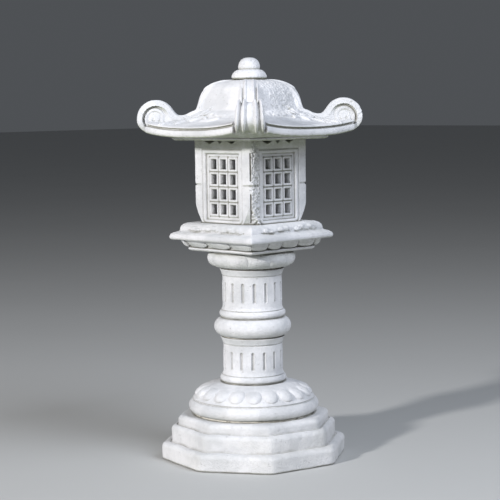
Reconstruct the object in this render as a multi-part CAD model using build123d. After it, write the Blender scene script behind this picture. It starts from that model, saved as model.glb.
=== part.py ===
from build123d import *
import os
from math import sqrt

# Stone lantern on a column pedestal. Millimetres, +Z up, origin on the ground under the
# plinth's centre. The square pieces have their faces across X and Y; -Y is the front.

# ---- driving dimensions ----
GAP = 0.3                      # running clearance between pieces that lift apart

# heights of the joints in the stack
PLINTH_TOP = 118
FOOT_BOTTOM, FOOT_TOP = 121, 203
LOWER_DRUM_BOTTOM, LOWER_DRUM_TOP = 205, 326
RING_BOTTOM, RING_TOP = 328.5, 378
UPPER_DRUM_BOTTOM, UPPER_DRUM_TOP = 380, 510
CAPITAL_BOTTOM, CAPITAL_TOP = 512.5, 558
ABACUS_TOP = 567
PLATFORM_TOP = 634
BOX_TOP = 853
SLAB_TOP = 862
ROOF_TOP = 1012
TOP = 1070

# plinth: outer corner radius and height of each step
PLINTH_STEPS = ((254.5, 0, 47), (227, 47, 91.5), (208, 91.5, PLINTH_TOP))
PLINTH_TWIST = -12.1           # degrees that the octagon is turned from the square pieces
STEP_ROUND = 11

# foot
FOOT_R = 176.5
FOOT_BAND_BOTTOM_R, FOOT_BAND_TOP_R, FOOT_BAND_TOP = 160, 166, 157
FOOT_DOME = ((155, 171), (141, 184), (115, 196.5))
COLUMN_SEAT_R = 90
BOSSES, BOSS_RING_R, BOSS_Z, BOSS_R = 20, 126.6, 157.1, 34

# column
SHAFT_R, COLLAR_R, BASE_RING_R = 80, 86.5, 88
COLLAR_HEIGHT, BASE_RING_HEIGHT, BASE_RING_FACE = 16, 21, 9
GROOVE_DEPTH, GROOVE_HEIGHT = 1.5, 3
FLUTES, FLUTE_R, FLUTE_DEPTH = 16, 4.5, 4
UPPER_FLUTE = (421, 474)
LOWER_FLUTE = (241, 289)
RING_R = 104
CAPITAL_FOOT_R, CAPITAL_R, CAPITAL_NECK_R = 86, 118.5, 104
CAPITAL_WIDEST_Z = 536

# platform and abacus: half widths across the faces
ABACUS_HALF = 121
BEVEL_TOP_HALF, BEVEL_TOP = 140.7, 590
LIP_HALF, LIP_TOP, LIP_ROUND = 157, 612, 9
TIER_HALF, TIER_ROUND = 136.5, 18

# light box
BOX_HALF, WALL = 107.5, 44.5
WINDOW_W, WINDOW_BOTTOM, WINDOW_TOP = 126, 643, 818
LATTICE_THICK, LATTICE_SET_BACK = 20, 5
TILES_X, TILES_Z, TILE_W, TILE_H = 3, 4, 34.3, 39.6
HOLE_W, HOLE_H, TILE_GROOVE, TILE_GROOVE_DEPTH = 18.9, 25.4, 2.4, 3
POST_NOTCH_Z, POST_BULGE_Z = 735, 705
POST_TOP_R, POST_NOTCH_R, POST_BULGE_R, POST_BOTTOM_R = 149.5, 147.5, 150, 131

# eave slab and roof
SLAB_HALF = 149.5
LID_BOSS_DEPTH, LID_BOSS_PLAY = 12, 2.5
EAVE_HALF, SOFFIT_HALF, FASCIA_TOP = 228, 224, 884
EAVE_CORNER_R = 292            # where each eave corner is cut off behind its scroll
SKIRT_OUTLINE = ((892, 200), (903, 160), (914, 135))   # height and half width
RIDGE_PROUD = 6                # how far a corner ridge stands out past the dome's corner
VALLEY = (195, 916)            # corner radius and height of the dip between dome and scroll
DOME_OUTLINE = (               # height and corner radius of the bell-shaped dome
    (926, 154), (934, 139.5), (962, 131), (973, 127), (983, 121), (989, 118),
    (994, 112), (999, 103), (1004, 91), (1009, 70),
)
RIDGE_WIDTH, RIDGE_TOP_R = 68, 60
SCROLL_R, SCROLL_CENTRE_R, SCROLL_Z = 49, 248, 909.5
SCROLL_BOTTOM, SCROLL_RIM, SCROLL_DISH, SCROLL_EYE_R = 872, 10, 5, 9

# finial
BUN_R, BUN_FOOT_R, BUN_TOP_R, BUN_TOP, JEWEL_R, JEWEL_NECK_R = 47, 38, 36, 1038, 29, 25

# steel pins
DOWEL_R, DOWEL_HALF = 8, 26
BOX_PIN_R, BOX_PIN_AT, BOX_PIN_SUNK, BOX_PIN_PROUD, BOX_PIN_PLAY = 5, 84, 16, 12, 0.6
FINIAL_PIN_R, FINIAL_PIN_IN, FINIAL_PIN_OUT, FINIAL_PIN_PLAY = 6, 18, 32, 0.6


# ---- helpers ----
def turned(*curves):
    """A solid of revolution about Z from the curves that bound its right half."""
    edges = [edge for curve in curves for edge in (Plane.XZ * curve).edges()]
    return revolve(make_face(edges), Axis.Z)


def square_slab(half, bottom, top):
    return Pos(0, 0, (bottom + top) / 2) * Box(2 * half, 2 * half, top - bottom)


def square_loft(levels):
    """A body through level squares, from pairs of height and half width."""
    return loft([Pos(0, 0, z) * Rectangle(2 * h, 2 * h) for z, h in levels], ruled=True)


def rod(radius, bottom, top, x=0, y=0):
    return Pos(x, y, (bottom + top) / 2) * Cylinder(radius, top - bottom)


def dowel_levels():
    """The height of the middle of each mortar joint that a dowel crosses."""
    return [
        (PLINTH_TOP + FOOT_BOTTOM) / 2,
        (FOOT_TOP + LOWER_DRUM_BOTTOM) / 2,
        (LOWER_DRUM_TOP + RING_BOTTOM) / 2,
        (RING_TOP + UPPER_DRUM_BOTTOM) / 2,
        (UPPER_DRUM_TOP + CAPITAL_BOTTOM) / 2,
        ABACUS_TOP,
    ]


def dowel_group():
    return [rod(DOWEL_R, z - DOWEL_HALF, z + DOWEL_HALF) for z in dowel_levels()]


def drilled(body):
    """The body with the holes of every dowel that reaches it."""
    for dowel in dowel_group():
        body -= dowel
    return body


# ---- fixed stack ----
def plinth():
    steps = []
    for radius, bottom, top in PLINTH_STEPS:
        outline = RegularPolygon(radius, 8, rotation=22.5 + PLINTH_TWIST)
        step = Pos(0, 0, bottom) * extrude(outline, top - bottom)
        steps.append(fillet(step.edges().group_by(Axis.Z)[-1], STEP_ROUND))
    return drilled(steps[0] + steps[1:])


def mortar_bed(radius, bottom, top):
    return drilled(rod(radius, bottom, top))


def foot():
    body = turned(
        Polyline((0, FOOT_BOTTOM), (FOOT_BAND_BOTTOM_R, FOOT_BOTTOM)),
        ThreePointArc(
            (FOOT_BAND_BOTTOM_R, FOOT_BOTTOM),
            (FOOT_R, (FOOT_BOTTOM + FOOT_BAND_TOP) / 2),
            (FOOT_BAND_TOP_R, FOOT_BAND_TOP),
        ),
        Polyline(
            (FOOT_BAND_TOP_R, FOOT_BAND_TOP),
            (FOOT_BAND_TOP_R - 4, FOOT_BAND_TOP + 2),
            (FOOT_BAND_TOP_R - 2, FOOT_BAND_TOP + 5),
        ),
        Spline(
            (FOOT_BAND_TOP_R - 2, FOOT_BAND_TOP + 5), *FOOT_DOME, (COLUMN_SEAT_R, FOOT_TOP)
        ),
        Polyline((COLUMN_SEAT_R, FOOT_TOP), (0, FOOT_TOP), (0, FOOT_BOTTOM)),
    )
    for i in range(BOSSES):
        body += Rot(0, 0, i * 360 / BOSSES) * Pos(BOSS_RING_R, 0, BOSS_Z) * Sphere(BOSS_R)
    return drilled(body)


def drum(bottom, top, flute):
    """A column drum: base ring, fluted shaft, groove and flared collar."""
    groove = top - COLLAR_HEIGHT - GROOVE_HEIGHT
    body = turned(
        Polyline((0, bottom), (BASE_RING_R, bottom), (BASE_RING_R, bottom + BASE_RING_FACE)),
        ThreePointArc(
            (BASE_RING_R, bottom + BASE_RING_FACE),
            (BASE_RING_R - 3, (2 * bottom + BASE_RING_FACE + BASE_RING_HEIGHT) / 2 + 1),
            (SHAFT_R, bottom + BASE_RING_HEIGHT),
        ),
        Polyline(
            (SHAFT_R, bottom + BASE_RING_HEIGHT),
            (SHAFT_R, groove),
            (SHAFT_R - GROOVE_DEPTH, groove + GROOVE_HEIGHT / 2),
            (SHAFT_R, groove + GROOVE_HEIGHT),
            (COLLAR_R, top),
            (0, top),
            (0, bottom),
        ),
    )
    low, high = flute
    cutter = rod(FLUTE_R, low + FLUTE_R, high - FLUTE_R)
    cutter += Pos(0, 0, low + FLUTE_R) * Sphere(FLUTE_R)
    cutter += Pos(0, 0, high - FLUTE_R) * Sphere(FLUTE_R)
    cutter = Pos(SHAFT_R + FLUTE_R - FLUTE_DEPTH, 0, 0) * cutter
    for i in range(FLUTES):
        body -= Rot(0, 0, -45 + i * 360 / FLUTES) * cutter
    return drilled(body)


def ring():
    low, high = (BASE_RING_R - 2, RING_BOTTOM), (BASE_RING_R, RING_TOP)
    return drilled(turned(
        Polyline((0, RING_BOTTOM), low),
        ThreePointArc(low, (RING_R, (RING_BOTTOM + RING_TOP) / 2), high),
        Polyline(high, (0, RING_TOP), (0, RING_BOTTOM)),
    ))


def capital():
    foot_edge = (CAPITAL_FOOT_R, CAPITAL_BOTTOM)
    widest = (CAPITAL_R, CAPITAL_WIDEST_Z)
    neck = (CAPITAL_NECK_R, CAPITAL_TOP)
    return drilled(turned(
        Polyline((0, CAPITAL_BOTTOM), foot_edge),
        ThreePointArc(foot_edge, (CAPITAL_R - 7, CAPITAL_BOTTOM + 11), widest),
        ThreePointArc(widest, (CAPITAL_R - 3.5, CAPITAL_TOP - 8.5), neck),
        Polyline(neck, (0, CAPITAL_TOP), (0, CAPITAL_BOTTOM)),
    ))


def abacus():
    return drilled(square_slab(ABACUS_HALF, CAPITAL_TOP, ABACUS_TOP))


def box_pin_places():
    return [(x, y) for x in (-BOX_PIN_AT, BOX_PIN_AT) for y in (-BOX_PIN_AT, BOX_PIN_AT)]


def box_pins():
    low, high = PLATFORM_TOP - BOX_PIN_SUNK, PLATFORM_TOP + BOX_PIN_PROUD
    return [rod(BOX_PIN_R, low, high, x, y) for x, y in box_pin_places()]


def platform():
    bevel = square_loft([(ABACUS_TOP, ABACUS_HALF), (BEVEL_TOP, BEVEL_TOP_HALF)])
    lip = square_slab(LIP_HALF, BEVEL_TOP, LIP_TOP)
    lip = fillet(lip.edges(), LIP_ROUND)
    tier = square_slab(TIER_HALF, LIP_TOP, PLATFORM_TOP)
    tier = fillet(tier.edges().group_by(Axis.Z)[-1], TIER_ROUND)
    body = drilled(bevel + lip + tier)
    for pin in box_pins():
        body -= pin
    return body


# ---- light box ----
def light_box():
    bottom = PLATFORM_TOP + GAP
    chamber = BOX_HALF - WALL
    body = square_slab(BOX_HALF, bottom, BOX_TOP) - square_slab(chamber, bottom, BOX_TOP)
    window = Pos(0, 0, (WINDOW_BOTTOM + WINDOW_TOP) / 2) * Box(
        WINDOW_W, 2 * BOX_HALF, WINDOW_TOP - WINDOW_BOTTOM)
    post_outline = Polyline(
        (POST_TOP_R, BOX_TOP + 1),
        (POST_NOTCH_R, POST_NOTCH_Z),
        (POST_BULGE_R, POST_BULGE_Z),
        (POST_BOTTOM_R, bottom - 1),
        (POST_TOP_R + 9, bottom - 1),
        (POST_TOP_R + 9, BOX_TOP + 1),
        close=True,
    )
    corner = extrude(make_face(Plane.XZ * post_outline), BOX_HALF, both=True)
    for turn in (0, 90, 180, 270):
        body -= Rot(0, 0, turn) * window
        body -= Rot(0, 0, turn + 45) * corner
    for x, y in box_pin_places():
        top = PLATFORM_TOP + BOX_PIN_PROUD + 2
        body -= rod(BOX_PIN_R + BOX_PIN_PLAY, bottom - 1, top, x, y)
    return body


def lattice(turn):
    """A window casting for the front, turned to its side of the light box."""
    middle_z = (WINDOW_BOTTOM + WINDOW_TOP) / 2
    face = -LATTICE_THICK / 2
    body = Box(WINDOW_W, LATTICE_THICK, WINDOW_TOP - WINDOW_BOTTOM)
    for i in range(TILES_X):
        for k in range(TILES_Z):
            x, z = (i - (TILES_X - 1) / 2) * TILE_W, (k - (TILES_Z - 1) / 2) * TILE_H
            body -= Pos(x, 0, z) * Box(HOLE_W, 2 * LATTICE_THICK, HOLE_H)
    for i in range(TILES_X + 1):
        groove = Box(TILE_GROOVE, 2 * TILE_GROOVE_DEPTH, TILES_Z * TILE_H + TILE_GROOVE)
        body -= Pos((i - TILES_X / 2) * TILE_W, face, 0) * groove
    for k in range(TILES_Z + 1):
        groove = Box(TILES_X * TILE_W + TILE_GROOVE, 2 * TILE_GROOVE_DEPTH, TILE_GROOVE)
        body -= Pos(0, face, (k - TILES_Z / 2) * TILE_H) * groove
    set_back = BOX_HALF - LATTICE_SET_BACK - LATTICE_THICK / 2
    return Rot(0, 0, turn) * Pos(0, -set_back, middle_z) * body


# ---- roof ----
def eave_slab():
    bottom = BOX_TOP + GAP
    boss = square_slab(BOX_HALF - WALL - LID_BOSS_PLAY, bottom - LID_BOSS_DEPTH, bottom)
    return square_slab(SLAB_HALF, bottom, SLAB_TOP) + boss


def ridge():
    """One corner ridge with its scroll, lying along +X."""
    outline = [(r, z) for z, r in reversed(DOME_OUTLINE)]
    side = Polyline(
        (0, SCROLL_BOTTOM), (0, ROOF_TOP), (RIDGE_TOP_R, ROOF_TOP), *outline, VALLEY,
        (SCROLL_CENTRE_R, SCROLL_Z), (SCROLL_CENTRE_R, SCROLL_BOTTOM), close=True,
    )
    body = extrude(make_face(Plane.XZ * side), RIDGE_WIDTH / 2, both=True)
    across = Pos(SCROLL_CENTRE_R, 0, SCROLL_Z) * Rot(90, 0, 0)
    body += across * Cylinder(SCROLL_R, RIDGE_WIDTH)
    for face in (-RIDGE_WIDTH / 2, RIDGE_WIDTH / 2):
        dish = Cylinder(SCROLL_R - SCROLL_RIM, 2 * SCROLL_DISH) - Cylinder(SCROLL_EYE_R, RIDGE_WIDTH)
        body -= across * Pos(0, 0, face) * dish
    return body & square_slab(2 * SCROLL_CENTRE_R, SCROLL_BOTTOM, ROOF_TOP)


def roof():
    levels = [(SLAB_TOP, SOFFIT_HALF), (FASCIA_TOP, EAVE_HALF), *SKIRT_OUTLINE]
    levels += [(z, (r - RIDGE_PROUD) / sqrt(2)) for z, r in DOME_OUTLINE]
    levels += [(ROOF_TOP, (RIDGE_TOP_R - RIDGE_PROUD) / sqrt(2))]
    body = square_loft(levels)
    body &= Rot(0, 0, 45) * square_slab(EAVE_CORNER_R, SLAB_TOP, ROOF_TOP)
    for turn in (45, 135, 225, 315):
        body += Rot(0, 0, turn) * ridge()
    socket = FINIAL_PIN_OUT + 2
    return body - rod(FINIAL_PIN_R + FINIAL_PIN_PLAY, ROOF_TOP - socket, ROOF_TOP)


# ---- finial ----
def finial_pin():
    base = ROOF_TOP + GAP
    return rod(FINIAL_PIN_R, base - FINIAL_PIN_OUT, base + FINIAL_PIN_IN)


def finial():
    base = ROOF_TOP + GAP
    body = turned(
        Polyline((0, base), (BUN_FOOT_R, base)),
        ThreePointArc((BUN_FOOT_R, base), (BUN_R, (base + BUN_TOP) / 2), (BUN_TOP_R, BUN_TOP)),
        Polyline((BUN_TOP_R, BUN_TOP), (JEWEL_NECK_R, BUN_TOP)),
        Spline(
            (JEWEL_NECK_R, BUN_TOP), (JEWEL_R, BUN_TOP + 7), (0, TOP),
            tangents=((1, 2), (-1, 0)),
        ),
        Polyline((0, TOP), (0, base)),
    )
    return body - finial_pin()


# ---- every piece, by node name ----
def pieces():
    return {
        "plinth": plinth(),
        "plinth_mortar": mortar_bed(FOOT_BAND_BOTTOM_R + 3, PLINTH_TOP, FOOT_BOTTOM),
        "foot": foot(),
        "lower_drum_mortar": mortar_bed(BASE_RING_R - 2, FOOT_TOP, LOWER_DRUM_BOTTOM),
        "lower_drum": drum(LOWER_DRUM_BOTTOM, LOWER_DRUM_TOP, LOWER_FLUTE),
        "ring_mortar": mortar_bed(BASE_RING_R - 4, LOWER_DRUM_TOP, RING_BOTTOM),
        "ring": ring(),
        "upper_drum_mortar": mortar_bed(BASE_RING_R - 2, RING_TOP, UPPER_DRUM_BOTTOM),
        "upper_drum": drum(UPPER_DRUM_BOTTOM, UPPER_DRUM_TOP, UPPER_FLUTE),
        "capital_mortar": mortar_bed(CAPITAL_FOOT_R - 2, UPPER_DRUM_TOP, CAPITAL_BOTTOM),
        "capital": capital(),
        "abacus": abacus(),
        "platform": platform(),
        "dowels": Compound(dowel_group()),
        "box_pins": Compound(box_pins()),
        "light_box": light_box(),
        "front_lattice": lattice(0),
        "right_lattice": lattice(90),
        "back_lattice": lattice(180),
        "left_lattice": lattice(270),
        "eave_slab": eave_slab(),
        "roof": roof(),
        "finial": finial(),
        "finial_pin": finial_pin(),
    }


os.makedirs("parts", exist_ok=True)
for node, body in pieces().items():
    export_step(body, f"parts/{node}.step")
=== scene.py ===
import math

import bpy
import numpy as np
from mathutils import Euler, Matrix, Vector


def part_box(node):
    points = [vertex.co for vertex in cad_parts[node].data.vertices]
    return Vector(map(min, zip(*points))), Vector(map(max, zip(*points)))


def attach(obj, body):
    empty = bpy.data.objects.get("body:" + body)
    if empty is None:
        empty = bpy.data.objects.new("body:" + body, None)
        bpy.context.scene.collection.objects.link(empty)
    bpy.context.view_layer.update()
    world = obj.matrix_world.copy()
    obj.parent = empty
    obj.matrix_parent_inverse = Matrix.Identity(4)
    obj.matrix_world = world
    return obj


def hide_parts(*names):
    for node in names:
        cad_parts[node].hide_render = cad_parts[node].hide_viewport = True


# Looks for the stone lantern. Shapes are worked out in millimetres, in the frame's own axes
# (+Z up, -Y front), and become metres when a mesh is made.

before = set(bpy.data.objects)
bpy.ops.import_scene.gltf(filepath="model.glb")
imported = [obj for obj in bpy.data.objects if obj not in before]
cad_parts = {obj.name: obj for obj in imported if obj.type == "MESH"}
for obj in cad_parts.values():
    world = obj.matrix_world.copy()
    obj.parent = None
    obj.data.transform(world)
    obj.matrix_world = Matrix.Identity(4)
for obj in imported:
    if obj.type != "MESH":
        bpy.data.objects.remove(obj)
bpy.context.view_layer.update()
MM = 0.001
SIDE_TURNS = (0, 90, 180, 270)          # front, right, back, left
LATTICES = ("front_lattice", "right_lattice", "back_lattice", "left_lattice")


# ---------------------------------------------------------------- places from the frame
def span(node):
    """The lowest and highest corners of a CAD node, in millimetres."""
    low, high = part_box(node)
    return np.array(low) / MM, np.array(high) / MM


def height(node):
    low, high = span(node)
    return low[2], high[2]


def half_width(node):
    low, high = span(node)
    return (high[0] - low[0]) / 2


# ---------------------------------------------------------------- noise and curves
def value_noise(points, size, seed):
    """Smooth noise from -1 to 1 at each point, with bumps about as big as size."""
    at = points / size + seed * 13.7
    cell = np.floor(at).astype(np.int64)
    part = at - cell
    part = part * part * (3 - 2 * part)
    total = np.zeros(len(points))
    for corner in np.ndindex(2, 2, 2):
        x, y, z = (cell + corner).T
        key = (x * 73856093) ^ (y * 19349663) ^ (z * 83492791) ^ (seed * 2654435)
        key = (key * 1103515245 + 12345) & 0x7FFFFFFF
        key = ((key >> 11) ^ key) * 668265263 & 0x7FFFFFFF
        weight = np.prod(np.where(corner, part, 1 - part), axis=1)
        total += weight * (key / 0x3FFFFFFF - 1)
    return total


def layered_noise(points, size, seed, layers=3):
    total = np.zeros(len(points))
    for k in range(layers):
        total += value_noise(points, size / 2 ** k, seed + k) / 2 ** k
    return total / 1.6


def smooth_step(low, high, x):
    t = np.clip((x - low) / (high - low), 0, 1)
    return t * t * (3 - 2 * t)


def bell(x, centre, width):
    """A soft bump of height 1 at centre that has died away at width from it."""
    return np.clip(1 - ((x - centre) / width) ** 2, 0, 1) ** 2


def arc(centre, radii, start, end, steps=10):
    """Points on an elliptical arc between two angles, in degrees."""
    angle = np.radians(np.linspace(start, end, steps + 1))
    return [(centre[0] + radii[0] * math.cos(a), centre[1] + radii[1] * math.sin(a))
            for a in angle]


def curve_through(points, steps=8):
    """A smooth curve through points in any number of dimensions (Catmull-Rom)."""
    p = np.array(points, float)
    p = np.vstack([2 * p[0] - p[1], p, 2 * p[-1] - p[-2]])
    made = []
    for k in range(1, len(p) - 2):
        a, b, c, d = p[k - 1:k + 3]
        for t in np.arange(steps) / steps:
            made.append(0.5 * (2 * b + (c - a) * t + (2 * a - 5 * b + 4 * c - d) * t ** 2
                               + (3 * b - a - 3 * c + d) * t ** 3))
    return np.array(made + [p[-2]])


def spaced_evenly(outline, step):
    """The same polyline with points no further apart than step. Its own points stay."""
    made = [outline[0]]
    for a, b in zip(outline[:-1], outline[1:]):
        a, b = np.array(a, float), np.array(b, float)
        n = max(1, int(math.ceil(np.linalg.norm(b - a) / step)))
        made += [tuple(a + (b - a) * k / n) for k in range(1, n + 1)]
    return np.array(made, float)


def nearest_line(x, y, line):
    """The distance from each point to a polyline."""
    best = np.full(x.shape, 1e9)
    for (ax, ay), (bx, by) in zip(line[:-1], line[1:]):
        dx, dy = bx - ax, by - ay
        t = np.clip(((x - ax) * dx + (y - ay) * dy) / (dx * dx + dy * dy + 1e-9), 0, 1)
        best = np.minimum(best, np.hypot(x - ax - t * dx, y - ay - t * dy))
    return best


# ---------------------------------------------------------------- cross-sections
def ring_section(count):
    angle = np.arange(count) * 2 * math.pi / count
    return np.stack([np.cos(angle), np.sin(angle)], axis=1)


def polygon_section(sides, turn, per_side, sharpness):
    """A regular polygon with rounded corners and a unit distance to its faces. An array of
    sharpnesses gives one polygon for each."""
    along = np.sin(np.linspace(-math.pi / 2, math.pi / 2, per_side, endpoint=False))
    along = 0.5 * along + 0.5 * np.linspace(-1, 1, per_side, endpoint=False)
    half = math.pi / sides
    turns = math.radians(turn) + 2 * half * np.arange(sides)
    angle = (turns[:, None] + np.arctan(along * math.tan(half))[None]).ravel()
    facing = np.clip(np.cos(angle[:, None] - turns[None, :]), 0, None)
    power = np.asarray(sharpness, float)[..., None]
    reach = (facing ** power[..., None]).sum(axis=-1) ** (-1 / power)
    return np.stack([np.cos(angle), np.sin(angle)], axis=-1) * reach[..., None]


# ---------------------------------------------------------------- meshes
def make_object(name, points, faces):
    """A mesh object from points in millimetres. Faces of one array have the same size."""
    mesh = bpy.data.meshes.new(name)
    faces = [np.asarray(f, np.int32) for f in faces if len(f)]
    mesh.vertices.add(len(points))
    mesh.vertices.foreach_set("co", (np.asarray(points) * MM).ravel())
    loops = np.concatenate([f.ravel() for f in faces])
    sizes = np.concatenate([np.full(len(f), f.shape[1]) for f in faces])
    mesh.loops.add(len(loops))
    mesh.loops.foreach_set("vertex_index", loops)
    mesh.polygons.add(len(sizes))
    mesh.polygons.foreach_set("loop_start", np.concatenate([[0], np.cumsum(sizes)[:-1]]))
    mesh.polygons.foreach_set("use_smooth", np.ones(len(sizes), bool))
    mesh.update(calc_edges=True)
    mesh.validate()
    made = bpy.data.objects.new(name, mesh)
    bpy.context.scene.collection.objects.link(made)
    return made


def stacked(outline, section):
    """Rings of the section's shape, one for each outline point (size, height), and the
    faces between them, with a fan over each end."""
    outline = np.asarray(outline, float)
    rows, count = len(outline), len(section)
    points = np.empty((rows, count, 3))
    points[..., :2] = outline[:, None, :1] * section[None]
    points[..., 2] = outline[:, 1:2]
    return points, stacked_faces(rows, count)


def stacked_faces(rows, count):
    i = np.arange(count)
    j = np.arange(rows - 1)[:, None]
    a, b = j * count + i, j * count + (i + 1) % count
    quads = np.stack([a, b, b + count, a + count], axis=-1).reshape(-1, 4)
    low, high = rows * count, rows * count + 1
    last = (rows - 1) * count
    fans = np.concatenate([
        np.stack([np.full(count, low), (i + 1) % count, i], axis=1),
        np.stack([np.full(count, high), last + i, last + (i + 1) % count], axis=1),
    ])
    return [quads, fans]


def closed_stack(points):
    """All points of a stack, with the middle of each end added."""
    ends = np.stack([points[0].mean(axis=0), points[-1].mean(axis=0)])
    return np.concatenate([points.reshape(-1, 3), ends])


def double_sheet(outer, inner, keep, wrap):
    """A closed shell between two sheets of points with the same rows and columns. keep
    says which cells are solid. Every edge between a solid cell and a hole gets a wall."""
    columns, rows = outer.shape[:2]
    index = np.arange(columns * rows).reshape(columns, rows)
    if wrap:
        index = np.vstack([index, index[:1]])
    under = columns * rows
    a, b = index[:-1, :-1], index[1:, :-1]
    c, d = index[1:, 1:], index[:-1, 1:]
    quads = [np.stack([a, b, c, d], -1)[keep], np.stack([d, c, b, a], -1)[keep] + under]
    side = np.pad(keep, ((0, 0), (1, 1)))
    for edge, gone in (((a, b), ~side[:, :-2]), ((c, d), ~side[:, 2:])):
        quads.append(wall(edge, keep & gone, under))
    ends = np.vstack([keep[-1:], keep, keep[:1]]) if wrap else np.pad(keep, ((1, 1), (0, 0)))
    for edge, gone in (((d, a), ~ends[:-2]), ((b, c), ~ends[2:])):
        quads.append(wall(edge, keep & gone, under))
    points = np.concatenate([outer.reshape(-1, 3), inner.reshape(-1, 3)])
    used = np.unique(np.concatenate(quads))
    renumber = np.full(len(points), -1)
    renumber[used] = np.arange(len(used))
    return points[used], [renumber[np.concatenate(quads)]]


def wall(edge, where, under):
    a, b = edge[0][where], edge[1][where]
    return np.stack([b, a, a + under, b + under], -1)


def read_mesh(mesh):
    points = np.empty(len(mesh.vertices) * 3)
    mesh.vertices.foreach_get("co", points)
    normals = np.empty(len(mesh.vertices) * 3)
    mesh.vertex_normals.foreach_get("vector", normals)
    return points.reshape(-1, 3) / MM, normals.reshape(-1, 3)


def push(piece, how_far):
    """Moves each point of a piece along its normal by how_far(points, normals), in mm."""
    points, normals = read_mesh(piece.data)
    points += normals * how_far(points, normals)[:, None]
    piece.data.vertices.foreach_set("co", (points * MM).ravel())
    piece.data.update()


def worn(seed, coarse=0.7, fine=0.25):
    """Unevenness of cast stone: slow waves, then small dents and crumbs."""
    def how_far(points, normals):
        waves = layered_noise(points, 42, seed) * coarse
        crumbs = layered_noise(points, 7, seed + 5, 2) * fine
        return waves + crumbs
    return how_far


def melted(name, pieces, voxel, rounds=4):
    """One closed mesh around overlapping pieces, with softened creases."""
    points, faces, start = [], [], 0
    for piece_points, piece_faces in pieces:
        points.append(piece_points)
        faces += [f + start for f in piece_faces]
        start += len(piece_points)
    rough = make_object(name + "_rough", np.concatenate(points), faces)
    remesh = rough.modifiers.new("union", "REMESH")
    remesh.mode = "VOXEL"
    remesh.voxel_size = voxel * MM
    soften = rough.modifiers.new("soften", "SMOOTH")
    soften.factor = 0.5
    soften.iterations = rounds
    depsgraph = bpy.context.evaluated_depsgraph_get()
    mesh = bpy.data.meshes.new_from_object(rough.evaluated_get(depsgraph))
    mesh.name = name
    bpy.data.objects.remove(rough)
    mesh.polygons.foreach_set("use_smooth", np.ones(len(mesh.polygons), bool))
    made = bpy.data.objects.new(name, mesh)
    bpy.context.scene.collection.objects.link(made)
    return made


def place(piece, body, slot, material, *nodes):
    """Gives a piece its body and its finish, and hides the CAD nodes that it stands for."""
    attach(piece, body)
    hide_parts(*nodes)
    piece.data.materials.clear()
    piece.data.materials.append(material)
    return piece


def face_view(points):
    """For each point, the side that it lies on (0 front, 1 right, 2 back, 3 left), how far
    it is to the right of that side's middle, seen from outside, and how far out it is."""
    side = np.round((np.degrees(np.arctan2(points[:, 1], points[:, 0])) + 90) / 90) % 4
    turn = np.radians(-90 * side)
    along = points[:, 0] * np.cos(turn) - points[:, 1] * np.sin(turn)
    out = -(points[:, 0] * np.sin(turn) + points[:, 1] * np.cos(turn))
    return side.astype(int), along, out


# ---------------------------------------------------------------- materials
class Paint:
    """Adds shader nodes to one material."""

    def __init__(self, name):
        self.material = bpy.data.materials.new(name)
        self.material.use_nodes = True
        self.tree = self.material.node_tree
        self.surface = self.tree.nodes["Principled BSDF"]
        self.place = self.node("ShaderNodeTexCoord").outputs["Object"]

    def node(self, kind, settings=None, **inputs):
        made = self.tree.nodes.new(kind)
        for key, value in (settings or {}).items():
            setattr(made, key, value)
        for key, value in inputs.items():
            self.give(made.inputs[key.replace("_", " ")], value)
        return made

    def give(self, socket, value):
        if isinstance(value, bpy.types.NodeSocket):
            self.tree.links.new(value, socket)
        elif hasattr(value, "__len__") and len(value) == 3 and socket.type == "RGBA":
            socket.default_value = (*value, 1)
        else:
            socket.default_value = value

    def noise(self, size, detail=4.0, roughness=0.55):
        """Noise from 0 to 1 with features about as big as size, in millimetres."""
        made = self.node("ShaderNodeTexNoise", Vector=self.place, Scale=1 / (size * MM),
                         Detail=detail, Roughness=roughness)
        return made.outputs["Fac"]

    def pits(self, size):
        """0 in the middle of scattered holes of about that size, rising around them."""
        made = self.node("ShaderNodeTexVoronoi", Vector=self.place, Scale=1 / (size * MM))
        return made.outputs["Distance"]

    def between(self, value, low, high, start=0.0, end=1.0):
        made = self.node("ShaderNodeMapRange", {"interpolation_type": "SMOOTHSTEP"},
                         Value=value, From_Min=low, From_Max=high, To_Min=start, To_Max=end)
        return made.outputs["Result"]

    def sum(self, kind, a, b):
        made = self.node("ShaderNodeMath", {"operation": kind})
        self.give(made.inputs[0], a)
        self.give(made.inputs[1], b)
        return made.outputs["Value"]

    def tint(self, amount, below, above):
        """One colour turning into another as amount goes from 0 to 1."""
        made = self.node("ShaderNodeMix", {"data_type": "RGBA"})
        self.give(made.inputs[0], amount)
        self.give(made.inputs[6], below)
        self.give(made.inputs[7], above)
        return made.outputs[2]

    def bump(self, height, distance, strength, after=None):
        made = self.node("ShaderNodeBump", Height=height, Distance=distance * MM,
                         Strength=strength)
        if after is not None:
            self.give(made.inputs["Normal"], after)
        return made.outputs["Normal"]

    def hollow(self, reach):
        """1 in the open, falling towards 0 in corners narrower than reach."""
        made = self.node("ShaderNodeAmbientOcclusion", {"samples": 8}, Distance=reach * MM)
        return made.outputs["AO"]

    def facing_down(self):
        normal = self.node("ShaderNodeNewGeometry").outputs["Normal"]
        split = self.node("ShaderNodeSeparateXYZ", Vector=normal)
        return self.between(split.outputs["Z"], 0.1, -0.9)

    def height(self):
        return self.node("ShaderNodeSeparateXYZ", Vector=self.place).outputs["Z"]


# linear colours of the stone, its stains, the growth and dirt on it, and the painted shade on its
# undersides, in its hollows and under ledges
STONE_PALE = (0.83, 0.825, 0.845)
STONE_DEEP = (0.66, 0.665, 0.685)
STONE_CREAM = (0.74, 0.70, 0.60)
# green growth mixed with painted shade under the eave and the platform
STONE_GROWTH_AND_SHADE = (0.42, 0.44, 0.34)
# painted shade for undersides, tinted like green light bounced up onto them
STONE_UNDERSIDE_SHADE = (0.33, 0.36, 0.25)
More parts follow.
